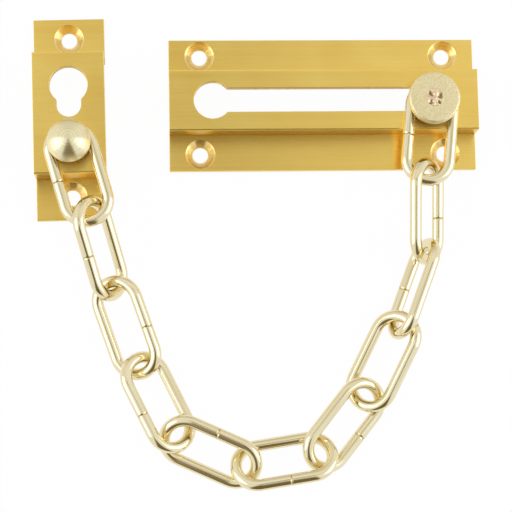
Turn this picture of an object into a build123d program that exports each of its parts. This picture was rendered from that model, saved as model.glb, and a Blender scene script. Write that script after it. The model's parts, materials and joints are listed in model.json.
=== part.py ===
# Door chain lying on its back: slotted slide plate, slider stud, eleven wire links and a keeper plate
import os

from build123d import *

os.makedirs("parts", exist_ok=True)

# Slide plate, an extruded hat section that runs along X
slide_length = 80.0
slide_width = 34.6
slide_height = 8.2
slide_channel = 16.0

# Keeper plate, a shorter and taller hat section, a little askew
keeper_length = 52.8
keeper_width = 18.3
keeper_height = 10.5
keeper_channel = 31.6
keeper_turn = 1.1

# Walls that both sections share
flange_thickness = 2.0
top_thickness = 2.0
wall_thickness = 2.2
edge_radius = 0.5

# Countersunk screw holes
screw_bore = 4.0
screw_sink = 7.6
screw_angle = 90.0
slide_screw_inset_x = 8.0
slide_screw_inset_y = 4.3
keeper_screw_inset_top = 5.3
keeper_screw_inset_foot = 5.9

# Keyholes: the stud's head goes in at the round entry, and its neck runs along the narrow part
neck_diameter = 4.0
head_diameter = 8.9
neck_clearance = 1.1
neck_rest = 0.2
head_clearance = 0.3
entry_clearance = 0.4
entry_inset = 11.2
stud_inset = 12.3
keeper_entry_y = 7.05
keeper_lobe_y = 1.9

# Slider stud: inner head and neck in one, with a flat disc staked on outside
head_thickness = 2.0
disc_diameter = 13.3
disc_thickness = 2.2
disc_bevel = 0.4
spigot_diameter = 3.0
spigot_fit = 0.03
stake_flare = 0.8
stake_depth = 0.7
punch_count = 4
punch_circle = 3.0
punch_length = 1.4
punch_width = 0.6
punch_turn = 45.0
punch_tilt = 45.0

# Keeper rivet: domed head, neck for the link, shank through the plate and a peened tail
rivet_y = -8.2
dome_diameter = 11.0
dome_height = 4.2
dome_rim = 0.6
shank_diameter = 3.2
tail_diameter = 5.6
tail_height = 1.4

# Chain links of bent wire, with flats inside the round section and short runs round the bends
wire_diameter = 3.0
wire_sides = 8
bend_runs = 8
link_inner_length = 21.6
link_inner_width = 8.0
link_play = 0.25
seat_gap = 0.3
link_headroom = 0.5
hook_step = 0.05

# How each link lies, from the stud to the keeper: heading, climb and roll in degrees
link_lies = [
    (-96, 0, 0),
    (-90.5, -9, -50),
    (-111, -1, 72),
    (-116.5, -8, 26),
    (-129, 0, -27),
    (-171.6, 0, 28),
    (155.5, 0, -26),
    (116, 0, 28),
    (109, 7, -26),
    (106, 19, 50),
    (106, 0, 0),
]
# What carries each link: a plate, the floor, or the link before it
link_seats = ["slide", "link"] + 7 * ["floor"] + ["link", "keeper"]
seat_heights = {"slide": slide_height + seat_gap, "floor": 0.0, "keeper": keeper_height + seat_gap}

# Sizes that follow from the ones above
slide_screw_x = slide_length - 2 * slide_screw_inset_x
slide_screw_y = slide_width - 2 * slide_screw_inset_y
keeper_screw_top = keeper_length / 2 - keeper_screw_inset_top
keeper_screw_foot = keeper_screw_inset_foot - keeper_length / 2
entry_x = entry_inset - slide_length / 2
stud_x = slide_length / 2 - stud_inset
stud_y = neck_rest - neck_clearance
slot_width = neck_diameter + 2 * neck_clearance
entry_diameter = head_diameter + 2 * entry_clearance
neck_room = seat_gap + wire_diameter + link_headroom
bend_radius = (link_inner_width + wire_diameter) / 2
bend_offset = (link_inner_length - link_inner_width) / 2
loop_length = 2 * (bend_offset + bend_radius)
pull_in = link_inner_length / 2 - neck_diameter / 2 - seat_gap


# Hat section in the sketch that is open: a channel with a flange along each side
def hat_section(length, channel, height):
    ceiling = height - top_thickness
    with Locations((0, flange_thickness / 2)):
        Rectangle(length, flange_thickness)
    with Locations((0, height / 2)):
        Rectangle(channel, height)
    with Locations((0, ceiling / 2)):
        Rectangle(channel - 2 * wall_thickness, ceiling, mode=Mode.SUBTRACT)
    fillet(vertices().sort_by(Axis.Y)[-2:], edge_radius)


# Half profile turned about the stud's or the rivet's own axis
def upright_plane(x, y):
    return Plane((x, y, 0), x_dir=(1, 0, 0), z_dir=(0, -1, 0))


# Plane of a link: X along it towards the keeper, Y across it
def link_plane(centre, lie):
    heading, climb, roll = lie
    along = Vector(1, 0, 0).rotate(Axis.Y, -climb).rotate(Axis.Z, heading)
    across = Vector(0, 1, 0).rotate(Axis.X, roll).rotate(Axis.Y, -climb).rotate(Axis.Z, heading)
    return Plane(centre, x_dir=along, z_dir=along.cross(across))


# Middle line of a link's wire
def wire_loop(plane):
    with BuildLine(plane) as loop:
        Line((-bend_offset, -bend_radius), (bend_offset, -bend_radius))
        CenterArc((bend_offset, 0), bend_radius, -90, 180)
        Line((bend_offset, bend_radius), (-bend_offset, bend_radius))
        CenterArc((-bend_offset, 0), bend_radius, 90, 180)
    return loop.wire()


# Next link's plane, drawn along its heading until its wire is just clear of the last one's
def hook_on(last, lie, height):
    last_loop = wire_loop(last)
    choices = []
    overlap = wire_diameter
    while overlap < link_inner_width:
        half_reach = (loop_length - overlap) / 2
        centre = last.origin + (last.x_dir + link_plane((0, 0, 0), lie).x_dir) * half_reach
        if height is not None:
            centre.Z = height
        plane = link_plane(centre, lie)
        gap = wire_loop(plane).distance_to(last_loop) - wire_diameter
        if gap >= link_play:
            return plane
        choices.append((gap, overlap, plane))
        overlap += hook_step
    return max(choices)[-1]


# One link, lying flat about the origin, for all the links to copy
with BuildPart() as link_blank:
    with BuildLine() as runs:
        near_bend = CenterArc((bend_offset, 0), bend_radius, -90, 180, mode=Mode.PRIVATE)
        far_bend = CenterArc((-bend_offset, 0), bend_radius, 90, 180, mode=Mode.PRIVATE)
        shares = [run / bend_runs for run in range(bend_runs + 1)]
        Polyline((0, -bend_radius), *near_bend.positions(shares), *far_bend.positions(shares), close=True)
    with BuildSketch(Plane((0, -bend_radius, 0), z_dir=(1, 0, 0))):
        RegularPolygon(wire_diameter / 2, wire_sides, rotation=180 / wire_sides)
    sweep(path=runs.wire(), transition=Transition.RIGHT)

# Planes of all the links, laid out one after another from the stud
link_planes = []
for lie, seat in zip(link_lies, link_seats):
    height = None
    if seat != "link":
        lowest = (link_plane((0, 0, 0), lie).location * link_blank.part).bounding_box().min.Z
        height = seat_heights[seat] - lowest
    if link_planes:
        link_planes.append(hook_on(link_planes[-1], lie, height))
    else:
        along = link_plane((0, 0, 0), lie).x_dir
        link_planes.append(link_plane(Vector(stud_x, stud_y, height) + along * pull_in, lie))

# The keeper goes where the chain ends
rivet_point = link_planes[-1].origin + link_planes[-1].x_dir * pull_in
keeper_back = Plane((rivet_point.X, rivet_point.Y, 0)).rotated((0, 0, keeper_turn))
keeper_back = keeper_back.shift_origin(keeper_back.from_local_coords((0, -rivet_y, 0)))

# Slide plate
with BuildPart() as slide_plate:
    with BuildSketch(Plane.YZ):
        hat_section(slide_width, slide_channel, slide_height)
    extrude(amount=slide_length / 2, both=True)
    with BuildSketch(Plane.XY.offset(slide_height)):
        with Locations((entry_x, 0)):
            Circle(entry_diameter / 2)
        with Locations(((entry_x + stud_x) / 2, 0)):
            SlotCenterToCenter(stud_x - entry_x, slot_width)
    extrude(amount=-top_thickness, mode=Mode.SUBTRACT)
    with Locations(Plane.XY.offset(flange_thickness)):
        with GridLocations(slide_screw_x, slide_screw_y, 2, 2):
            CounterSinkHole(screw_bore / 2, screw_sink / 2, flange_thickness, screw_angle)
slide_plate.part.label = "slide_plate"
export_step(slide_plate.part, "parts/slide_plate.step")

# Heights on the slider stud
head_top = slide_height - top_thickness - head_clearance
disc_bottom = slide_height + neck_room
disc_top = disc_bottom + disc_thickness
stud_axis = Axis((stud_x, stud_y, 0), (0, 0, 1))

# Stud pin: head behind the slot, neck, and a spigot spread over the disc by four punch marks
with BuildPart() as stud_pin:
    with BuildSketch(upright_plane(stud_x, stud_y)):
        with BuildLine():
            Polyline(
                (0, head_top - head_thickness),
                (head_diameter / 2, head_top - head_thickness),
                (head_diameter / 2, head_top),
                (neck_diameter / 2, head_top),
                (neck_diameter / 2, disc_bottom),
                (spigot_diameter / 2, disc_bottom),
                (spigot_diameter / 2, disc_top - stake_depth),
                (spigot_diameter / 2 + stake_flare, disc_top),
                (0, disc_top),
                close=True,
            )
        make_face()
    revolve(axis=stud_axis)
    with Locations((stud_x, stud_y, disc_top)):
        with PolarLocations(punch_circle / 2, punch_count, start_angle=punch_turn):
            Box(punch_length, punch_width, punch_width, rotation=(punch_tilt, 0, 0), mode=Mode.SUBTRACT)
stud_pin.part.label = "stud_pin"
export_step(stud_pin.part, "parts/stud_pin.step")

# Stud disc, bevelled round its face and countersunk for the staked end
spigot_hole = spigot_diameter / 2 + spigot_fit
with BuildPart() as stud_disc:
    with BuildSketch(upright_plane(stud_x, stud_y)):
        with BuildLine():
            Polyline(
                (spigot_hole, disc_bottom),
                (disc_diameter / 2 - disc_bevel, disc_bottom),
                (disc_diameter / 2, disc_bottom + disc_bevel),
                (disc_diameter / 2, disc_top - disc_bevel),
                (disc_diameter / 2 - disc_bevel, disc_top),
                (spigot_hole + stake_flare, disc_top),
                (spigot_hole, disc_top - stake_depth),
                close=True,
            )
        make_face()
    revolve(axis=stud_axis)
stud_disc.part.label = "stud_disc"
export_step(stud_disc.part, "parts/stud_disc.step")

# Links
for number, plane in enumerate(link_planes, 1):
    with BuildPart() as link:
        with Locations(plane):
            add(link_blank.part)
    link.part.label = f"link_{number:02d}"
    export_step(link.part, f"parts/link_{number:02d}.step")

# Keeper plate
keeper_section = Plane(keeper_back.origin, x_dir=keeper_back.y_dir, z_dir=keeper_back.x_dir)
with BuildPart() as keeper_plate:
    with BuildSketch(keeper_section):
        hat_section(keeper_length, keeper_channel, keeper_height)
    extrude(amount=keeper_width / 2, both=True)
    with BuildSketch(keeper_back.offset(keeper_height)):
        with Locations((0, keeper_entry_y)):
            Circle(entry_diameter / 2)
        with Locations((0, (keeper_entry_y + keeper_lobe_y) / 2)):
            SlotCenterToCenter(keeper_entry_y - keeper_lobe_y, slot_width, rotation=90)
        with Locations((0, rivet_y)):
            Circle(shank_diameter / 2 + spigot_fit)
    extrude(amount=-top_thickness, mode=Mode.SUBTRACT)
    with Locations(keeper_back.offset(flange_thickness)):
        with Locations((0, keeper_screw_top), (0, keeper_screw_foot)):
            CounterSinkHole(screw_bore / 2, screw_sink / 2, flange_thickness, screw_angle)
keeper_plate.part.label = "keeper_plate"
export_step(keeper_plate.part, "parts/keeper_plate.step")

# Keeper rivet
tail_top = keeper_height - top_thickness
dome_bottom = keeper_height + neck_room
dome_top = dome_bottom + dome_height
with BuildPart() as keeper_rivet:
    with BuildSketch(upright_plane(rivet_point.X, rivet_point.Y)):
        with BuildLine():
            Polyline(
                (0, dome_top),
                (0, tail_top - tail_height),
                (tail_diameter / 2, tail_top - tail_height),
                (tail_diameter / 2, tail_top),
                (shank_diameter / 2, tail_top),
                (shank_diameter / 2, keeper_height),
                (neck_diameter / 2, keeper_height),
                (neck_diameter / 2, dome_bottom),
                (dome_diameter / 2, dome_bottom),
                (dome_diameter / 2, dome_bottom + dome_rim),
            )
            TangentArc((0, dome_top), (dome_diameter / 2, dome_bottom + dome_rim), tangent=(1, 0))
        make_face()
    revolve(axis=Axis((rivet_point.X, rivet_point.Y, 0), (0, 0, 1)))
keeper_rivet.part.label = "keeper_rivet"
export_step(keeper_rivet.part, "parts/keeper_rivet.step")
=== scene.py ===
import json
import math

import bmesh
import bpy
import numpy as np
from mathutils import Matrix, Vector


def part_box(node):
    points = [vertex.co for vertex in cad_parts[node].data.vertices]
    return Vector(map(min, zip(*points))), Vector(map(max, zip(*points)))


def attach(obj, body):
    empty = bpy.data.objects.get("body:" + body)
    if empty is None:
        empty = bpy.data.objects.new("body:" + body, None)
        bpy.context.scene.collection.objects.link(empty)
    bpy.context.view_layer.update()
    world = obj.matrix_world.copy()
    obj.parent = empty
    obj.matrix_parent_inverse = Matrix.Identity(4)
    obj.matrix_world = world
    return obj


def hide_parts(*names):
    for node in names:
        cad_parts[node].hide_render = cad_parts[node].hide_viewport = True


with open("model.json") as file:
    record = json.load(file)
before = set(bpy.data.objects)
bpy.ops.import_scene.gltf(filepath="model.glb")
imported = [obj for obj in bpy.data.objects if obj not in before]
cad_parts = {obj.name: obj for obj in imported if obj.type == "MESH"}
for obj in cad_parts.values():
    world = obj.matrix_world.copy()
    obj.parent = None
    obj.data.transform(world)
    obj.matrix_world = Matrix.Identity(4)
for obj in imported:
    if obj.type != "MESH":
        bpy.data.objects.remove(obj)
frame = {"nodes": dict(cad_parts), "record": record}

mm = 0.001
tiny = 0.001 * mm               # what is smaller counts as nothing
noiseLow, noiseHigh = 0.3, 0.7  # most values of a noise lie between these
acrossMap = 0.25                # turns a streak across the first direction of its map
nodes = frame["nodes"]
mounts = {mount["name"]: mount for mount in frame["record"]["mounts"]}
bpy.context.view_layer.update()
print("frame loaded:", len(nodes), "pieces")


# sRGB hex to the linear colour that the shaders take
def hexColour(code):
    channels = [int(code[i:i + 2], 16) / 255 for i in (1, 3, 5)]
    return [c / 12.92 if c <= 0.04045 else ((c + 0.055) / 1.055) ** 2.4 for c in channels] + [1.0]


# One node with its settings and inputs: a socket is linked, anything else is set.
# Stops are the places and colours of a colour ramp
def addNode(tree, kind, settings=None, inputs=None, stops=()):
    node = tree.nodes.new(kind)
    for name, value in (settings or {}).items():
        setattr(node, name, value)
    for key, value in (inputs or {}).items():
        if isinstance(value, bpy.types.NodeSocket):
            tree.links.new(value, node.inputs[key])
        else:
            node.inputs[key].default_value = value
    for element, (place, code) in zip(node.color_ramp.elements if stops else [], stops):
        element.position = place
        element.color = hexColour(code)
    return node


def newMaterial(name):
    material = bpy.data.materials.new(name)
    material.use_nodes = True
    material.node_tree.nodes.clear()
    return material, material.node_tree


# Satin brushed extruded brass: an even mid gold, with hair lines and die lines along the extrusion
# that draw every reflection out into a streak across them
satinBrass = {
    "tones": [(0.35, "#F8D069"), (0.65, "#FFDE79")],
    "hairLine": 0.24 * mm,      # drawn coarser than real brushing so that it shows
    "hairLength": 60 * mm,
    "dieLine": 1.8 * mm,
    "dieLength": 150 * mm,
    "cloud": 16 * mm,
    "dieShare": 0.5, "cloudShare": 0.45,
    "roughness": (0.27, 0.33), "anisotropy": 0.9,
    "bump": 0.0008 * mm,
}


def makeSatinBrass():
    s = satinBrass
    material, tree = newMaterial("satinBrushedExtrudedBrass")
    grain = addNode(tree, "ShaderNodeUVMap", {"uv_map": "grain"}).outputs["UV"]
    fields = {}
    for name, length, width in [
            ("hair", s["hairLength"], s["hairLine"]),
            ("die", s["dieLength"], s["dieLine"]),
            ("cloud", s["cloud"], s["cloud"])]:
        place = addNode(tree, "ShaderNodeMapping", None, {
            "Vector": grain, "Scale": (1 / length, 1 / width, 1)})
        noise = addNode(tree, "ShaderNodeTexNoise", {"noise_dimensions": "2D"}, {
            "Vector": place.outputs[0], "Scale": 1.0, "Detail": 2.0})
        fields[name] = noise.outputs["Fac"]
    streaks = addNode(tree, "ShaderNodeMix", {"data_type": "FLOAT"}, {
        "Factor": s["dieShare"], "A": fields["hair"], "B": fields["die"]})
    tone = addNode(tree, "ShaderNodeMix", {"data_type": "FLOAT"}, {
        "Factor": s["cloudShare"], "A": streaks.outputs["Result"], "B": fields["cloud"]})
    colour = addNode(tree, "ShaderNodeValToRGB", None, {"Fac": tone.outputs["Result"]}, s["tones"])
    rough = addNode(tree, "ShaderNodeMapRange", None, {
        "Value": fields["hair"], "From Min": noiseLow, "From Max": noiseHigh,
        "To Min": s["roughness"][0], "To Max": s["roughness"][1]})
    bump = addNode(tree, "ShaderNodeBump", None, {
        "Height": streaks.outputs["Result"], "Distance": s["bump"], "Strength": 1.0})
    tangent = addNode(tree, "ShaderNodeTangent", {"direction_type": "UV_MAP", "uv_map": "grain"})
    metal = addNode(tree, "ShaderNodeBsdfPrincipled", None, {
        "Metallic": 1.0, "Base Color": colour.outputs["Color"], "Roughness": rough.outputs["Result"],
        "Normal": bump.outputs["Normal"], "Tangent": tangent.outputs["Tangent"],
        "Anisotropic": s["anisotropy"], "Anisotropic Rotation": acrossMap})
    addNode(tree, "ShaderNodeOutputMaterial", None, {"Surface": metal.outputs[0]})
    return material


# Countersunk brass: bright cut metal, with faint rings down the cone that fan reflections into wedges
cutBrass = {
    "tones": [(0.3, "#F0CC7A"), (0.7, "#FBE3A0")],
    "ring": 0.25 * mm, "drift": 2.5 * mm,       # down the cone and round it
    "roughness": 0.26, "anisotropy": 0.8, "bump": 0.003 * mm,
}


def makeCutBrass():
    s = cutBrass
    material, tree = newMaterial("countersunkBrightBrass")
    place = addNode(tree, "ShaderNodeTexCoord").outputs["Object"]
    levels = addNode(tree, "ShaderNodeMapping", None, {
        "Vector": place, "Scale": (1 / s["drift"], 1 / s["drift"], 1 / s["ring"])})
    ring = addNode(tree, "ShaderNodeTexNoise", None, {
        "Vector": levels.outputs[0], "Scale": 1.0, "Detail": 2.0}).outputs["Fac"]
    colour = addNode(tree, "ShaderNodeValToRGB", None, {"Fac": ring}, s["tones"])
    bump = addNode(tree, "ShaderNodeBump", None, {"Height": ring, "Distance": s["bump"], "Strength": 1.0})
    tangent = addNode(tree, "ShaderNodeTangent", {"direction_type": "UV_MAP", "uv_map": "grain"})
    metal = addNode(tree, "ShaderNodeBsdfPrincipled", None, {
        "Metallic": 1.0, "Base Color": colour.outputs["Color"], "Roughness": s["roughness"],
        "Normal": bump.outputs["Normal"], "Tangent": tangent.outputs["Tangent"],
        "Anisotropic": s["anisotropy"], "Anisotropic Rotation": acrossMap})
    addNode(tree, "ShaderNodeOutputMaterial", None, {"Surface": metal.outputs[0]})
    return material


# Sawn and milled brass: the ends of the plates and the walls of their slots, duller than the rest, with
# fine cutter lines up and down. Their darker tones are painted shade
sawnShadedBrass = {
    # these tones are darker than the satin brass: painted shade on the walls and ends
    "tones": [(0.3, "#B8903F"), (0.7, "#D9B564")],
    "line": 0.3 * mm, "lineHeight": 6 * mm,
    "roughness": 0.42, "bump": 0.006 * mm,
}


def makeSawnShadedBrass():
    s = sawnShadedBrass
    material, tree = newMaterial("sawnBrassPaintedShade")
    place = addNode(tree, "ShaderNodeTexCoord").outputs["Object"]
    upright = addNode(tree, "ShaderNodeMapping", None, {
        "Vector": place, "Scale": (1 / s["line"], 1 / s["line"], 1 / s["lineHeight"])})
    line = addNode(tree, "ShaderNodeTexNoise", None, {
        "Vector": upright.outputs[0], "Scale": 1.0, "Detail": 2.0}).outputs["Fac"]
    colour = addNode(tree, "ShaderNodeValToRGB", None, {"Fac": line}, s["tones"])
    bump = addNode(tree, "ShaderNodeBump", None, {"Height": line, "Distance": s["bump"], "Strength": 1.0})
    metal = addNode(tree, "ShaderNodeBsdfPrincipled", None, {
        "Metallic": 1.0, "Base Color": colour.outputs["Color"], "Roughness": s["roughness"],
        "Normal": bump.outputs["Normal"]})
    addNode(tree, "ShaderNodeOutputMaterial", None, {"Surface": metal.outputs[0]})
    return material


# Brass-plated bright wire: pale and almost mirror smooth, with faint draw lines along it
# and a dull joint where the two ends meet
platedWire = {
    "tones": [(0.3, "#E4D3A2"), (0.65, "#EFE3BF")], "joint": "#BCA468",
    "drawLine": 0.4 * mm,       # drawn coarser than real draw lines so that they show
    "drawLength": 14 * mm,
    "roughness": (0.1, 0.17), "bump": 0.002 * mm,
}


def makePlatedWire():
    s = platedWire
    material, tree = newMaterial("brightBrassPlatedWire")
    spot = addNode(tree, "ShaderNodeAttribute", {"attribute_name": "wireSpot"}).outputs["Vector"]
    drawn = addNode(tree, "ShaderNodeMapping", None, {
        "Vector": spot, "Scale": (1 / s["drawLength"], 1 / s["drawLine"], 1 / s["drawLine"])})
    lines = addNode(tree, "ShaderNodeTexNoise", None, {
        "Vector": drawn.outputs[0], "Scale": 1.0, "Detail": 2.0}).outputs["Fac"]
    colour = addNode(tree, "ShaderNodeValToRGB", None, {"Fac": lines}, s["tones"])
    joint = addNode(tree, "ShaderNodeAttribute", {"attribute_name": "seam"}).outputs["Fac"]
    joined = addNode(tree, "ShaderNodeMix", {"data_type": "RGBA"}, {
        "Factor": joint, "A": colour.outputs["Color"], "B": hexColour(s["joint"])})
    rough = addNode(tree, "ShaderNodeMapRange", None, {
        "Value": lines, "From Min": noiseLow, "From Max": noiseHigh,
        "To Min": s["roughness"][0], "To Max": s["roughness"][1]})
    bump = addNode(tree, "ShaderNodeBump", None, {"Height": lines, "Distance": s["bump"], "Strength": 1.0})
    metal = addNode(tree, "ShaderNodeBsdfPrincipled", None, {
        "Metallic": 1.0, "Base Color": joined.outputs["Result"], "Roughness": rough.outputs["Result"],
        "Normal": bump.outputs["Normal"]})
    addNode(tree, "ShaderNodeOutputMaterial", None, {"Surface": metal.outputs[0]})
    return material


# Tumbled brass: barrel finished to a pale matt khaki, with a soft fine mottle
tumbledBrass = {
    "tones": [(0.34, "#E2D09A"), (0.64, "#F2E4B8")],
    "mottle": 0.55 * mm, "speckle": 0.2 * mm,
    "roughness": (0.42, 0.55), "bump": 0.008 * mm,
}


def makeTumbledBrass():
    s = tumbledBrass
    material, tree = newMaterial("tumbledMattBrass")
    place = addNode(tree, "ShaderNodeTexCoord").outputs["Object"]
    mottle = addNode(tree, "ShaderNodeTexNoise", None, {
        "Vector": place, "Scale": 1 / s["mottle"], "Detail": 3.0, "Roughness": 0.6}).outputs["Fac"]
    speckle = addNode(tree, "ShaderNodeTexNoise", None, {
        "Vector": place, "Scale": 1 / s["speckle"], "Detail": 2.0}).outputs["Fac"]
    colour = addNode(tree, "ShaderNodeValToRGB", None, {"Fac": mottle}, s["tones"])
    rough = addNode(tree, "ShaderNodeMapRange", None, {
        "Value": speckle, "From Min": noiseLow, "From Max": noiseHigh,
        "To Min": s["roughness"][0], "To Max": s["roughness"][1]})
    bump = addNode(tree, "ShaderNodeBump", None, {
        "Height": speckle, "Distance": s["bump"], "Strength": 1.0})
    metal = addNode(tree, "ShaderNodeBsdfPrincipled", None, {
        "Metallic": 1.0, "Base Color": colour.outputs["Color"], "Roughness": rough.outputs["Result"],
        "Normal": bump.outputs["Normal"]})
    addNode(tree, "ShaderNodeOutputMaterial", None, {"Surface": metal.outputs[0]})
    return material


# Turned brass: pale, polished on the lathe, with fine rings that fan reflections into wedges
turnedBrass = {
    "tones": [(0.3, "#E1D39C"), (0.65, "#F9EEC8")],
    "ring": 0.42 * mm,          # drawn coarser than real turning so that it shows
    "roughness": 0.3, "anisotropy": 0.85, "bump": 0.003 * mm,
}


def makeTurnedBrass():
    s = turnedBrass
    material, tree = newMaterial("turnedPolishedBrass")
    turn = addNode(tree, "ShaderNodeUVMap", {"uv_map": "turn"}).outputs["UV"]
    across = addNode(tree, "ShaderNodeMapping", None, {"Vector": turn, "Scale": (0, 1 / s["ring"], 0)})
    ring = addNode(tree, "ShaderNodeTexNoise", {"noise_dimensions": "2D"}, {
        "Vector": across.outputs[0], "Scale": 1.0, "Detail": 2.0}).outputs["Fac"]
    colour = addNode(tree, "ShaderNodeValToRGB", None, {"Fac": ring}, s["tones"])
    bump = addNode(tree, "ShaderNodeBump", None, {"Height": ring, "Distance": s["bump"], "Strength": 1.0})
    tangent = addNode(tree, "ShaderNodeTangent", {"direction_type": "UV_MAP", "uv_map": "turn"})
    metal = addNode(tree, "ShaderNodeBsdfPrincipled", None, {
        "Metallic": 1.0, "Base Color": colour.outputs["Color"], "Roughness": s["roughness"],
        "Normal": bump.outputs["Normal"], "Tangent": tangent.outputs["Tangent"],
        "Anisotropic": s["anisotropy"], "Anisotropic Rotation": acrossMap})
    addNode(tree, "ShaderNodeOutputMaterial", None, {"Surface": metal.outputs[0]})
    return material


# Punched brass: metal pushed up fresh by the staking punch, faintly pink in patches, with painted shade
# darkening the dents as they deepen
punchedBrass = {
    # the dent colour is painted shade, mixed in more where a dent is deeper
    "tones": [(0.4, "#E6C6A2"), (0.6, "#F3E3BC")], "dentPaintedShade": "#9A7F55",
    "patch": 0.9 * mm, "roughness": 0.38, "bump": 0.012 * mm,
}


def makePunchedBrass():
    s = punchedBrass
    material, tree = newMaterial("punchedRawBrass")
    place = addNode(tree, "ShaderNodeTexCoord").outputs["Object"]
    patch = addNode(tree, "ShaderNodeTexNoise", None, {
        "Vector": place, "Scale": 1 / s["patch"], "Detail": 3.0}).outputs["Fac"]
    colour = addNode(tree, "ShaderNodeValToRGB", None, {"Fac": patch}, s["tones"])
    dentPaintedShade = addNode(tree, "ShaderNodeAttribute", {"attribute_name": "dentPaintedShade"}).outputs["Fac"]
    # painted shade in the dents, mixed over the metal's own colour
    dentShadedColour = addNode(tree, "ShaderNodeMix", {"data_type": "RGBA"}, {
        "Factor": dentPaintedShade, "A": colour.outputs["Color"], "B": hexColour(s["dentPaintedShade"])})
    bump = addNode(tree, "ShaderNodeBump", None, {"Height": patch, "Distance": s["bump"], "Strength": 1.0})
    metal = addNode(tree, "ShaderNodeBsdfPrincipled", None, {
        "Metallic": 1.0, "Base Color": dentShadedColour.outputs["Result"], "Roughness": s["roughness"],
        "Normal": bump.outputs["Normal"]})
    addNode(tree, "ShaderNodeOutputMaterial", None, {"Surface": metal.outputs[0]})
    return material


satin = makeSatinBrass()
cut = makeCutBrass()
sawnShaded = makeSawnShadedBrass()
plated = makePlatedWire()
tumbled = makeTumbledBrass()
turned = makeTurnedBrass()
punched = makePunchedBrass()
print("materials ready")


def addPiece(name, mesh):
    piece = bpy.data.objects.new(name, mesh)
    bpy.context.scene.collection.objects.link(piece)
    return piece


# Modifiers turned into the piece's own mesh
def bakeModifiers(piece):
    seen = piece.evaluated_get(bpy.context.evaluated_depsgraph_get())
    mesh = bpy.data.meshes.new_from_object(seen)
    piece.modifiers.clear()
    piece.data = mesh


def settle(piece, body, node):
    piece.data.name = piece.name
    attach(piece, body)
    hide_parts(node)


# Plates: the CAD shape with thinner side walls and broken edges, and a grain map that follows the extrusion
plateSettings = {
    "merge": 0.0005 * mm, "flatAngle": 0.5,
    "edgeBreak": 0.12 * mm, "edgeRings": 2, "edgeAngle": 32,
    "sinkReach": 4.2 * mm,      # faces this near a screw's middle belong to its countersink
    # the channel's side walls lose this much on the inside, so that none shows through the keyholes.
    # A wall is a face over this area that looks straight across the extrusion, or nearly so
    "thinning": 1.0 * mm, "wallArea": 20 * mm * mm, "wallFacing": 0.9,
    # how far a face looks up or down, from 0 to 1: a level face is over the first, an upright one
    # under the second and a countersink's cone under the third
    "level": 0.5, "upright": 0.3, "cone": 0.97,
    "endFacing": 0.5,           # an end face looks along the extrusion by more than this
}


def makePlate(node, body, along, screws):
    s = plateSettings
    across = Vector((0, 0, 1)).cross(along)
    plateMiddle = sum(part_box(node), Vector()) / 2
    mesh = nodes[node].data.copy()
    mesh.materials.clear()
    edit = bmesh.new()
    edit.from_mesh(mesh)
    bmesh.ops.remove_doubles(edit, verts=edit.verts, dist=s["merge"])
    bmesh.ops.dissolve_limit(
        edit, angle_limit=math.radians(s["flatAngle"]), verts=edit.verts, edges=edit.edges)
    inward = {}
    for face in edit.faces:
        offset = face.calc_center_median() - plateMiddle
        facesIn = face.normal.dot(offset) < 0 and abs(face.normal.dot(across)) > s["wallFacing"]
        if facesIn and offset.z < 0 and face.calc_area() > s["wallArea"]:
            inward.update((vertex, face.normal.copy()) for vertex in face.verts)
    for vertex, way in inward.items():
        vertex.co -= way * s["thinning"]
    edit.to_mesh(mesh)
    edit.free()
    piece = addPiece(node + "_brass", mesh)
    bevel = piece.modifiers.new("brokenEdges", "BEVEL")
    bevel.width = s["edgeBreak"]
    bevel.segments = s["edgeRings"]
    bevel.limit_method = "ANGLE"
    bevel.angle_limit = math.radians(s["edgeAngle"])
    bevel.use_clamp_overlap = False
    bakeModifiers(piece)
    piece.data.shade_smooth()
    piece.modifiers.new("evenShading", "WEIGHTED_NORMAL")
    bakeModifiers(piece)
    mesh = piece.data
    for material in (satin, cut, sawnShaded):
        mesh.materials.append(material)
    grain = mesh.uv_layers.new(name="grain")
    for face in mesh.polygons:
        upness = abs(face.normal.z)
        atEnd = abs(face.normal.dot(along)) > s["endFacing"]
        facesIn = face.normal.dot(face.center - plateMiddle) < 0
        screw = min(screws, key=lambda place: (face.center - place).xy.length)
        arm = (face.center - screw).xy
        sunk = arm.length < s["sinkReach"] and upness < s["cone"]
        if sunk:
            face.material_index = mesh.materials.find(cut.name)
        # inner walls and ends take the sawn brass, whose darker tone is painted shade
        elif upness < s["upright"] and (atEnd or facesIn):
            face.material_index = mesh.materials.find(sawnShaded.name)
        for corner in face.loop_indices:
            spot = mesh.vertices[mesh.loops[corner].vertex_index].co
            if sunk:
                reach = (spot - screw).xy
                grain.data[corner].uv = (arm.angle_signed(reach) * arm.length, reach.length + spot.z)
            else:
                grain.data[corner].uv = (
                    spot.dot(along), spot.dot(across) if upness > s["level"] else spot.z)
    settle(piece, body, node)


slideScrews = mounts["slide_plate_screws"]["dims"]
makePlate("slide_plate", "slide_plate", Vector((1, 0, 0)), [
    Vector((x * slideScrews["spacing_x_mm"] / 2, y * slideScrews["spacing_y_mm"] / 2, 0)) * mm
    for x in (-1, 1) for y in (-1, 1)])

# The keeper lies a little askew: its long middle line runs through the rivet and between the screws
rivetMiddle = sum(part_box("keeper_rivet"), Vector()) / 2
keeperMiddle = Vector(mounts["keeper_screws"]["pos_m"])
keeperUp = (keeperMiddle - rivetMiddle) * Vector((1, 1, 0))
keeperUp.normalize()
keeperReach = mounts["keeper_screws"]["dims"]["pcd_mm"] / 2 * mm
makePlate("keeper_plate", "keeper", keeperUp.cross(Vector((0, 0, 1))), [
    keeperMiddle + keeperUp * side * keeperReach for side in (-1, 1)])
print("plates done")


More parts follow.
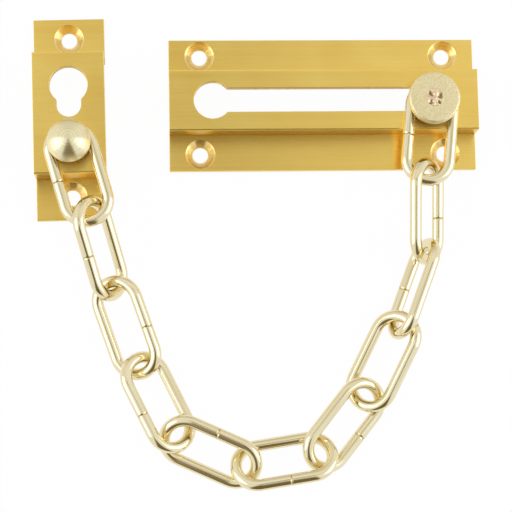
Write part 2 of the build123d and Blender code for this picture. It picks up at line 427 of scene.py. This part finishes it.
# Corners of a turned profile, given as (radius, height, rounding), with each rounding as an arc
def roundCorners(corners, steps):
    points = []
    for i, (r, z, rounding) in enumerate(corners):
        here = Vector((r, z))
        if not rounding:
            points.append(here)
            continue
        back = (Vector(corners[i - 1][:2]) - here).normalized()
        ahead = (Vector(corners[(i + 1) % len(corners)][:2]) - here).normalized()
        half = back.angle(ahead) / 2
        middle = here + (back + ahead).normalized() * rounding / math.sin(half)
        start = here + back * rounding / math.tan(half) - middle
        end = here + ahead * rounding / math.tan(half) - middle
        sweep = start.angle(end)
        for step in range(steps + 1):
            t = step / steps
            spread = (start * math.sin((1 - t) * sweep) + end * math.sin(t * sweep)) / math.sin(sweep)
            points.append(middle + spread)
    return [tuple(point) for point in points]


# A turned piece from its half profile, with a map that runs round it and along the profile
def turnPiece(name, profile, middle, sides, closed=False):
    edit = bmesh.new()
    rings = []
    for r, z in profile:
        if r < tiny:
            rings.append([edit.verts.new((middle.x, middle.y, z))])
            continue
        angles = [2 * math.pi * side / sides for side in range(sides)]
        rings.append([
            edit.verts.new((middle.x + r * math.cos(a), middle.y + r * math.sin(a), z)) for a in angles])
    turn = edit.loops.layers.uv.new("turn")
    rim = max(r for r, z in profile) * 2 * math.pi / sides
    along = [0.0]
    for last, point in zip(profile, profile[1:] + profile[:1]):
        along.append(along[-1] + (Vector(point) - Vector(last)).length)
    for i in range(len(rings) if closed else len(rings) - 1):
        low, high = rings[i], rings[(i + 1) % len(rings)]
        for side in range(sides):
            corners = [(low, side, i), (low, side + 1, i), (high, side + 1, i + 1), (high, side, i + 1)]
            if len(low) == 1:
                corners = corners[1:]
            if len(high) == 1:
                corners = corners[:-1]
            face = edit.faces.new([ring[k % len(ring)] for ring, k, step in corners])
            face.smooth = True
            for loop, (ring, k, step) in zip(face.loops, corners):
                loop[turn].uv = (k * rim, along[step])
    bmesh.ops.recalc_face_normals(edit, faces=edit.faces)
    mesh = bpy.data.meshes.new(name)
    edit.to_mesh(mesh)
    edit.free()
    return addPiece(name, mesh)


# Slider stud: the disc, and the pin whose end is spread over it by four punch blows
studSettings = {
    "sides": 128, "steps": 5,
    # hole and neck are radii
    "bevel": 0.4 * mm, "shoulder": 0.75 * mm, "hole": 1.53 * mm,
    "flare": 0.8 * mm, "flareDepth": 0.7 * mm, "flareEdge": 0.04 * mm,
    "discThickness": 2.2 * mm,
    "fit": 0.03 * mm, "neck": 2.0 * mm, "headThickness": 2.0 * mm, "headEdge": 0.3 * mm,
    "faceRings": 42,
    # each blow: turn in degrees, distance from the middle, length and width, in millimetres
    "blows": [(138, 1.35, 2.0, 1.15), (11, 1.45, 1.7, 1.85), (232, 1.7, 1.5, 1.4), (313, 1.7, 1.6, 1.05)],
    "blowDepth": 0.36 * mm, "lip": 0.12 * mm,
    "lipAway": 1.25, "lipSpread": 0.35,         # in half lengths and half widths of the blow
    "dentShade": 1.6,           # how soon the painted shade in a dent is full as it deepens
    "rimFade": 12,              # how steeply the dents end at the rim
}


def makeStud():
    s = studSettings
    low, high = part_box("stud_disc")
    middle = (low + high) / 2
    rim = (high.x - low.x) / 2
    flareRim = s["hole"] + s["flare"]
    disc = turnPiece("stud_disc_brass", roundCorners([
        (s["hole"], low.z, 0), (rim, low.z, s["bevel"]), (rim, high.z, s["shoulder"]),
        (flareRim, high.z, s["flareEdge"]), (s["hole"], high.z - s["flareDepth"], 0)],
        s["steps"]), middle, s["sides"], closed=True)
    disc.data.materials.append(tumbled)
    settle(disc, "slider", "stud_disc")

    low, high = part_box("stud_pin")
    head = (high.x - low.x) / 2
    headTop = low.z + s["headThickness"]
    discLow = high.z - s["discThickness"]
    spigot = s["hole"] - s["fit"]
    profile = roundCorners([
        (0, low.z, 0), (head, low.z, s["headEdge"]), (head, headTop, s["headEdge"]),
        (s["neck"], headTop, 0), (s["neck"], discLow, 0), (spigot, discLow, 0),
        (spigot, high.z - s["flareDepth"], 0)], s["steps"])
    faceRim = spigot + s["flare"]
    profile += [(faceRim * (1 - i / s["faceRings"]), high.z) for i in range(s["faceRings"] + 1)]
    pin = turnPiece("stud_pin_brass", profile, middle, s["sides"])
    dentShadeLevels = pin.data.attributes.new("dentPaintedShade", "FLOAT", "POINT")
    for vertex in pin.data.vertices:
        if vertex.co.z > high.z - tiny:
            height = punchHeight(vertex.co - middle, faceRim)
            vertex.co.z += height
            # painted shade: the deeper the dent, the darker its colour
            dentShadeLevels.data[vertex.index].value = min(1.0, max(0.0, -s["dentShade"] * height / s["blowDepth"]))
    pin.data.materials.append(tumbled)
    pin.data.materials.append(punched)
    for face in pin.data.polygons:
        face.material_index = 1 if face.center.z > high.z - s["flareDepth"] else 0
    settle(pin, "slider", "stud_pin")


# Height of the staked end at a spot: a V under each blow, and a low lip pushed up round it
def punchHeight(spot, faceRim):
    s = studSettings
    edge = Vector((spot.x, spot.y)).length / faceRim
    height = 0.0
    for turn, away, length, width in s["blows"]:
        angle = math.radians(turn)
        along = (spot.x * math.cos(angle) + spot.y * math.sin(angle)) / mm - away
        across = (spot.y * math.cos(angle) - spot.x * math.sin(angle)) / mm
        a, b = abs(along) / (length / 2), abs(across) / (width / 2)
        inside = max(0.0, 1 - a * a) * max(0.0, 1 - b)
        near = math.exp(-((math.hypot(a, b) - s["lipAway"]) / s["lipSpread"]) ** 2)
        height += s["lip"] * near - s["blowDepth"] * inside
    return height * min(1.0, (1 - edge) * s["rimFade"])


makeStud()
print("slider stud done")

# Keeper rivet: a turned dome on a neck, with its peened tail behind the plate
rivetSettings = {
    "sides": 128, "steps": 5, "domeSteps": 40,
    # neck, shank and tail are radii
    "domeHeight": 4.2 * mm, "domeRim": 0.6 * mm, "neckHeight": 3.8 * mm, "plate": 2.0 * mm,
    "neck": 2.0 * mm, "shank": 1.6 * mm, "tail": 2.8 * mm, "edge": 0.2 * mm,
    "sharpAngle": 35,
}


def makeRivet():
    s = rivetSettings
    low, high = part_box("keeper_rivet")
    middle = (low + high) / 2
    dome = (high.x - low.x) / 2
    domeLow = high.z - s["domeHeight"]
    plateTop = domeLow - s["neckHeight"]
    tailTop = plateTop - s["plate"]
    profile = roundCorners([
        (0, low.z, 0), (s["tail"], low.z, s["edge"]), (s["tail"], tailTop, s["edge"]),
        (s["shank"], tailTop, 0), (s["shank"], plateTop, 0), (s["neck"], plateTop, 0),
        (s["neck"], domeLow, 0), (dome, domeLow, s["edge"]), (dome, domeLow + s["domeRim"], 0)], s["steps"])
    # the dome is one arc, level at its top, down to the rim
    rise = s["domeHeight"] - s["domeRim"]
    ball = (dome * dome + rise * rise) / (2 * rise)
    spread = math.asin(dome / ball)
    for step in range(1, s["domeSteps"] + 1):
        angle = spread * (1 - step / s["domeSteps"])
        profile.append((ball * math.sin(angle), high.z - ball * (1 - math.cos(angle))))
    rivet = turnPiece("keeper_rivet_brass", profile, middle, s["sides"])
    rivet.data.materials.append(turned)
    rivet.data.set_sharp_from_angle(angle=math.radians(s["sharpAngle"]))
    settle(rivet, "keeper", "keeper_rivet")


makeRivet()
print("keeper rivet done")

# Chain links: round wire bent into a loop, its two ends butted on one leg.
# A seam is (leg, place in millimetres): leg 1 is to the left of the way to the keeper, place is towards it
linkSettings = {
    "wire": 3.0 * mm, "innerLength": 21.6 * mm, "innerWidth": 8.0 * mm,
    "rings": 168, "sides": 24,
    "crowding": 0.9,            # how much closer the rings lie near the seam, from 0 to 1
    "seamWidth": 0.34 * mm,
    "seamDepth": 0.08,          # as a share of the wire
    "seams": [
        (-1, 0.9), (1, 1.8), (-1, 0.5), (1, -11.6), (1, -0.4), (1, -0.85),
        (-1, 0.15), (1, -1.2), (-1, -1.3), (1, -0.2), (1, -0.6)],
}


# Geometry Nodes tree of a link: rings laid along the loop and crowded near the seam
def makeLinkTree():
    s = linkSettings
    tree = bpy.data.node_groups.new("wireLink", "GeometryNodeTree")
    kinds = {
        "Straight": "Float", "Bend": "Float", "Wire": "Float", "Rings": "Int", "Sides": "Int",
        "Seam Leg": "Float", "Seam Place": "Float", "Seam Width": "Float", "Seam Depth": "Float",
        "Middle": "Vector", "Turn": "Rotation", "Finish": "Material"}
    for name, kind in kinds.items():
        tree.interface.new_socket(name, in_out="INPUT", socket_type="NodeSocket" + kind)
    tree.interface.new_socket("Geometry", in_out="OUTPUT", socket_type="NodeSocketGeometry")
    given = addNode(tree, "NodeGroupInput").outputs
    value = {name: given[name] for name in kinds}
    value["index"] = addNode(tree, "GeometryNodeInputIndex").outputs[0]

    # Each step is a sum on earlier ones: its name, what it does, and what it takes
    sums = [
        ("bendLength", "MULTIPLY", "Bend", math.pi),
        ("twoLegs", "MULTIPLY", "Straight", 2.0),
        ("half", "ADD", "twoLegs", "bendLength"),
        # place along the wire, from -half to half, with the seam where its ends meet
        ("count", "ADD", "index", 0.5),
        ("share", "DIVIDE", "count", "Rings"),
        ("t", "MULTIPLY_ADD", "share", 2.0, -1.0),
        ("cube", "POWER", "t", 3.0),
        ("even", "MULTIPLY", "t", 1 + s["crowding"] / 2),
        ("crowded", "MULTIPLY_ADD", "cube", -s["crowding"] / 2, "even"),
        ("place", "MULTIPLY", "crowded", "half"),
        # the loop: out along one leg, round a bend and back along the other
        ("shifted", "MULTIPLY_ADD", "Seam Leg", "Seam Place", "place"),
        ("lowest", "MULTIPLY", "half", -1.0),
        ("run", "WRAP", "shifted", "half", "lowest"),
        ("way", "SIGN", "run"),
        ("far", "ABSOLUTE", "run"),
        ("out", "MINIMUM", "far", "Straight"),
        ("past", "SUBTRACT", "far", "Straight"),
        ("beyond", "SUBTRACT", "past", "bendLength"),
        ("back", "MAXIMUM", "beyond", 0.0),
        ("rawAngle", "DIVIDE", "past", "Bend"),
        ("upAngle", "MAXIMUM", "rawAngle", 0.0),
        ("angle", "MINIMUM", "upAngle", math.pi),
        ("sine", "SINE", "angle"),
        ("cosine", "COSINE", "angle"),
        ("leg", "SUBTRACT", "out", "back"),
        ("reach", "MULTIPLY_ADD", "sine", "Bend", "leg"),
        ("side", "MULTIPLY", "Seam Leg", -1.0),
        ("signedReach", "MULTIPLY", "way", "reach"),
        ("x", "MULTIPLY", "signedReach", "side"),
        ("height", "MULTIPLY", "cosine", "Bend"),
        ("y", "MULTIPLY", "height", "side"),
        # how near the seam is: 1 where the ends meet, 0 away from it
        ("size", "ABSOLUTE", "place"),
        ("away", "SUBTRACT", "half", "size"),
        ("widths", "DIVIDE", "away", "Seam Width"),
        ("closeness", "SUBTRACT", 1.0, "widths"),
        ("near", "MAXIMUM", "closeness", 0.0),
        ("pinch", "MULTIPLY", "near", "Seam Depth"),
        ("scale", "SUBTRACT", 1.0, "pinch"),
        ("radius", "MULTIPLY", "Wire", 0.5),
    ]
    for name, operation, *takes in sums:
        value[name] = addNode(tree, "ShaderNodeMath", {"operation": operation}, {
            i: value.get(take, take) for i, take in enumerate(takes)}).outputs[0]

    ring = addNode(tree, "GeometryNodeCurvePrimitiveCircle", None, {
        "Resolution": value["Rings"], "Radius": value["Bend"]})
    spot = addNode(tree, "ShaderNodeCombineXYZ", None, {"X": value["x"], "Y": value["y"]})
    path = addNode(tree, "GeometryNodeSetPosition", None, {
        "Geometry": ring.outputs["Curve"], "Position": spot.outputs[0]})
    level = addNode(tree, "GeometryNodeSetCurveNormal", {"mode": "Z_UP"}, {"Curve": path.outputs[0]})
    keptRun = addNode(tree, "GeometryNodeCaptureAttribute", {"domain": "POINT"}, {
        "Geometry": level.outputs[0]})
    for name in ("place", "near"):
        keptRun.capture_items.new("FLOAT", name)
        tree.links.new(value[name], keptRun.inputs[name])
    section = addNode(tree, "GeometryNodeCurvePrimitiveCircle", None, {
        "Resolution": value["Sides"], "Radius": value["radius"]})
    keptSection = addNode(tree, "GeometryNodeCaptureAttribute", {"domain": "POINT"}, {
        "Geometry": section.outputs["Curve"]})
    keptSection.capture_items.new("VECTOR", "round")
    tree.links.new(addNode(tree, "GeometryNodeInputPosition").outputs[0], keptSection.inputs["round"])
    wire = addNode(tree, "GeometryNodeCurveToMesh", None, {
        "Curve": keptRun.outputs[0], "Profile Curve": keptSection.outputs[0], "Scale": value["scale"]})

    # Where each point was on the straight wire, so that draw lines follow the bends
    around = addNode(tree, "ShaderNodeSeparateXYZ", None, {"Vector": keptSection.outputs["round"]})
    straightSpot = addNode(tree, "ShaderNodeCombineXYZ", None, {
        "X": keptRun.outputs["place"], "Y": around.outputs["X"], "Z": around.outputs["Y"]})
    marked = addNode(tree, "GeometryNodeStoreNamedAttribute", {"data_type": "FLOAT_VECTOR"}, {
        "Geometry": wire.outputs[0], "Name": "wireSpot", "Value": straightSpot.outputs[0]})
    seamed = addNode(tree, "GeometryNodeStoreNamedAttribute", {"data_type": "FLOAT"}, {
        "Geometry": marked.outputs[0], "Name": "seam", "Value": keptRun.outputs["near"]})
    laid = addNode(tree, "GeometryNodeTransform", None, {
        "Geometry": seamed.outputs[0], "Translation": value["Middle"], "Rotation": value["Turn"]})
    plain = addNode(tree, "GeometryNodeRealizeInstances", None, {"Geometry": laid.outputs[0]})
    finished = addNode(tree, "GeometryNodeSetMaterial", None, {
        "Geometry": plain.outputs[0], "Material": value["Finish"]})
    addNode(tree, "NodeGroupOutput", None, {"Geometry": finished.outputs[0]})
    return tree


# How a link lies, from its CAD mesh: its middle, and its turn with X along it towards the next piece
def linkLie(node, towards):
    # corners of the loose triangles, each once
    spots = np.unique(np.array([v.co for v in nodes[node].data.vertices]).round(7), axis=0)
    middle = spots.mean(0)
    axes = np.linalg.eigh(np.cov((spots - middle).T))[1]
    along, up = Vector(axes[:, 2]), Vector(axes[:, 0])
    along *= math.copysign(1, along.dot(towards))
    up *= math.copysign(1, up.z)
    return Vector(middle), Matrix((along, up.cross(along), up)).transposed()


def makeLinks():
    s = linkSettings
    tree = makeLinkTree()
    keys = {item.name: item.identifier for item in tree.interface.items_tree if item.in_out == "INPUT"}
    names = sorted(name for name in nodes if name.startswith("link_"))
    places = {name: sum(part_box(name), Vector()) / 2 for name in names + ["keeper_rivet"]}
    for name, after, (leg, place) in zip(names, names[1:] + ["keeper_rivet"], s["seams"]):
        middle, turn = linkLie(name, places[after] - places[name])
        piece = addPiece(name + "_wire", bpy.data.meshes.new(name))
        modifier = piece.modifiers.new("wireLink", "NODES")
        modifier.node_group = tree
        values = {
            "Straight": (s["innerLength"] - s["innerWidth"]) / 2,
            "Bend": (s["innerWidth"] + s["wire"]) / 2,
            "Wire": s["wire"], "Rings": s["rings"], "Sides": s["sides"],
            "Seam Leg": float(leg), "Seam Place": place * mm,
            "Seam Width": s["seamWidth"], "Seam Depth": s["seamDepth"],
            "Middle": middle, "Turn": turn.to_euler(), "Finish": plated}
        for key, given in values.items():
            modifier[keys[key]] = given
        bakeModifiers(piece)
        piece.data.shade_smooth()
        settle(piece, name, name)
    print("links done:", len(names))


makeLinks()

# Camera at the photo's angle, worked out from the plates' corners in the 512 pixel frame
cameraSettings = {
    "frame": 512, "focal": 1618,                # in pixels
    "shift": (17.2, 39.3, -425.0),              # the part's origin as the camera sees it, in millimetres
    "turn": (-7.32, 3.31, 0.58),                # tilt, side tilt and roll in degrees
    "sensor": 36.0, "nearest": 10 * mm,
}


def makeCamera():
    s = cameraSettings
    data = bpy.data.cameras.new("camera")
    data.sensor_width = s["sensor"]
    data.lens = s["sensor"] * s["focal"] / s["frame"]
    data.clip_start = s["nearest"]
    camera = bpy.data.objects.new("camera", data)
    bpy.context.scene.collection.objects.link(camera)
    tilt, sideTilt, roll = (math.radians(angle) for angle in s["turn"])
    turn = Matrix.Rotation(roll, 3, "Z") @ Matrix.Rotation(sideTilt, 3, "Y") @ Matrix.Rotation(tilt, 3, "X")
    back = turn.transposed()
    camera.matrix_world = Matrix.Translation(-(back @ Vector(s["shift"])) * mm) @ back.to_4x4()
    bpy.context.scene.camera = camera


makeCamera()

# Floor: plain and pale, white to the camera and in the metal, with the object's shadow left in it
floorSettings = {"size": 3.0, "height": -0.2 * mm, "colour": "#F6F6F4", "roughness": 0.9, "white": 0.97}


def makeFloor():
    s = floorSettings
    half = s["size"] / 2
    mesh = bpy.data.meshes.new("floor")
    corners = [(x * half, y * half, s["height"]) for x, y in ((-1, -1), (1, -1), (1, 1), (-1, 1))]
    mesh.from_pydata(corners, [], [(0, 1, 2, 3)])
    floor = addPiece("floor", mesh)
    material, tree = newMaterial("paleStudioFloor")
    matt = addNode(tree, "ShaderNodeBsdfPrincipled", None, {
        "Base Color": hexColour(s["colour"]), "Roughness": s["roughness"]})
    white = addNode(tree, "ShaderNodeEmission", None, {"Color": hexColour("#FFFFFF"), "Strength": 1.0})
    rays = addNode(tree, "ShaderNodeLightPath").outputs
    seen = rays["Is Camera Ray"]
    for ray in ("Is Glossy Ray", "Is Transmission Ray"):
        seen = addNode(tree, "ShaderNodeMath", {"operation": "MAXIMUM"}, {0: seen, 1: rays[ray]}).outputs[0]
    share = addNode(tree, "ShaderNodeMath", {"operation": "MULTIPLY"}, {0: seen, 1: s["white"]})
    mixed = addNode(tree, "ShaderNodeMixShader", None, {
        0: share.outputs[0], 1: matt.outputs[0], 2: white.outputs[0]})
    addNode(tree, "ShaderNodeOutputMaterial", None, {"Surface": mixed.outputs[0]})
    mesh.materials.append(material)


makeFloor()

# Light: a white tent, brightest towards the front and the sides, dimmer overhead and behind.
# It has a dark opening in front where the camera stands, a thin seam above it and a dim gap between panels
lightSettings = {
    # levels are shares of white, and places are parts of a direction: x to the right, y to the back
    "front": 1.08, "frontColour": "#EEF4FF", "frontStart": 0.12, "frontFull": 0.0,
    "sideStart": 0.25, "sideLead": 0.7,
    "overhead": 0.86, "behind": 0.94, "behindFull": 0.5,
    "horizon": 0.7, "horizonStart": 0.7,
    "opening": 0.18, "openingColour": "#FFE8AC", "openingHalf": 0.03,
    "openingSpread": 0.48, "openingSoft": 0.1, "openingTop": -0.13,
    "seam": 0.45, "seamPlace": 0.02, "seamHalf": 0.035, "seamTop": 0.3,
    "gap": 0.4, "gapPlace": (0.01, 0.17), "gapHalf": (0.13, 0.05),
    # soft boxes: name, place, width and depth, power
    "lamps": [
        ("left", (-0.7, -0.12, 0.4), (0.55, 0.65), 1.45),
        ("right", (0.7, -0.12, 0.4), (0.55, 0.65), 1.45),
    ],
}


def makeLight():
    s = lightSettings
    for name, place, size, power in s["lamps"]:
        data = bpy.data.lights.new(name, "AREA")
        data.shape = "RECTANGLE"
        data.size, data.size_y = size
        data.energy = power
        lamp = bpy.data.objects.new(name, data)
        bpy.context.scene.collection.objects.link(lamp)
        lamp.location = place
        lamp.rotation_euler = (-Vector(place)).to_track_quat("-Z", "Y").to_euler()
    world = bpy.data.worlds.new("lightTent")
    world.use_nodes = True
    bpy.context.scene.world = world
    tree = world.node_tree
    tree.nodes.clear()
    way = addNode(tree, "ShaderNodeTexCoord").outputs["Generated"]
    parts = addNode(tree, "ShaderNodeSeparateXYZ", None, {"Vector": way}).outputs
    value = {"x": parts["X"], "y": parts["Y"]}
    for name, operation, *takes in [
            ("side", "ABSOLUTE", "x"),
            ("outer", "SUBTRACT", "side", s["sideStart"]),
            ("reach", "MAXIMUM", "outer", 0.0),
            ("lead", "MULTIPLY_ADD", "reach", -s["sideLead"], "y"),
            ("offSeam", "SUBTRACT", "x", s["seamPlace"]),
            ("fromSeam", "ABSOLUTE", "offSeam"),
            ("offGap", "SUBTRACT", "x", s["gapPlace"][0]),
            ("fromGap", "ABSOLUTE", "offGap"),
            ("overGap", "SUBTRACT", "y", s["gapPlace"][1]),
            ("pastGap", "ABSOLUTE", "overGap"),
            ("front", "MULTIPLY", "y", -1.0),
            ("ahead", "MAXIMUM", "front", 0.0),
            ("half", "MULTIPLY_ADD", "ahead", s["openingSpread"], s["openingHalf"]),
            ("past", "SUBTRACT", "side", "half")]:
        value[name] = addNode(tree, "ShaderNodeMath", {"operation": operation}, {
            i: value.get(take, take) for i, take in enumerate(takes)}).outputs[0]
    # soft steps: what is measured, from where to where, and the levels there
    soft = s["openingSoft"]
    for name, measure, start, end, low, high in [
            ("behind", "y", s["frontStart"], s["behindFull"], s["overhead"], s["behind"]),
            ("far", "y", s["horizonStart"], 1.0, 1.0, s["horizon"] / s["behind"]),
            ("lit", "lead", s["frontFull"], s["frontStart"], 1.0, 0.0),
            ("within", "past", -soft, soft, 1.0, 0.0),
            ("below", "y", s["openingTop"] - soft / 2, s["openingTop"] + soft / 2, 1.0, 0.0),
            ("atSeam", "fromSeam", 0.0, 2 * s["seamHalf"], 1.0 - s["seam"], 0.0),
            ("underTop", "y", s["seamTop"] - soft, s["seamTop"] + soft, 1.0, 0.0),
            ("besideGap", "fromGap", 0.0, 2 * s["gapHalf"][0], 1.0 - s["gap"], 0.0),
            ("atGap", "pastGap", 0.0, 2 * s["gapHalf"][1], 1.0, 0.0)]:
        value[name] = addNode(tree, "ShaderNodeMapRange", {"interpolation_type": "SMOOTHSTEP"}, {
            "Value": value[measure], "From Min": start, "From Max": end,
            "To Min": low, "To Max": high}).outputs["Result"]
    for name, operation, *takes in [
            ("opening", "MULTIPLY", "within", "below"),
            ("seam", "MULTIPLY", "atSeam", "underTop"),
            ("gap", "MULTIPLY", "besideGap", "atGap"),
            ("beyondSeam", "SUBTRACT", 1.0, "seam"),
            ("beyondGap", "SUBTRACT", 1.0, "gap"),
            ("kept", "MULTIPLY", "beyondSeam", "beyondGap"),
            ("back", "MULTIPLY", "behind", "far")]:
        value[name] = addNode(tree, "ShaderNodeMath", {"operation": operation}, {
            i: value.get(take, take) for i, take in enumerate(takes)}).outputs[0]
    tent = addNode(tree, "ShaderNodeMix", {"data_type": "FLOAT"}, {
        "Factor": value["lit"], "A": value["back"], "B": s["front"]}).outputs["Result"]
    seamed = addNode(tree, "ShaderNodeMath", {"operation": "MULTIPLY"}, {
        0: tent, 1: value["kept"]}).outputs[0]
    level = addNode(tree, "ShaderNodeMix", {"data_type": "FLOAT"}, {
        "Factor": value["opening"], "A": seamed, "B": s["opening"]}).outputs["Result"]
    tint = addNode(tree, "ShaderNodeMix", {"data_type": "RGBA"}, {
        "Factor": value["lit"], "A": hexColour("#FFFFFF"),
        "B": hexColour(s["frontColour"])}).outputs["Result"]
    toned = addNode(tree, "ShaderNodeMix", {"data_type": "RGBA"}, {
        "Factor": value["opening"], "A": tint, "B": hexColour(s["openingColour"])}).outputs["Result"]
    room = addNode(tree, "ShaderNodeBackground", None, {"Color": toned, "Strength": level})
    white = addNode(tree, "ShaderNodeBackground", None, {"Color": hexColour("#FFFFFF"), "Strength": 1.0})
    rays = addNode(tree, "ShaderNodeLightPath").outputs
    mixed = addNode(tree, "ShaderNodeMixShader", None, {
        0: rays["Is Camera Ray"], 1: room.outputs[0], 2: white.outputs[0]})
    addNode(tree, "ShaderNodeOutputWorld", None, {"Surface": mixed.outputs[0]})


makeLight()
bpy.context.scene.view_settings.view_transform = "Standard"
print("camera, floor and light done")
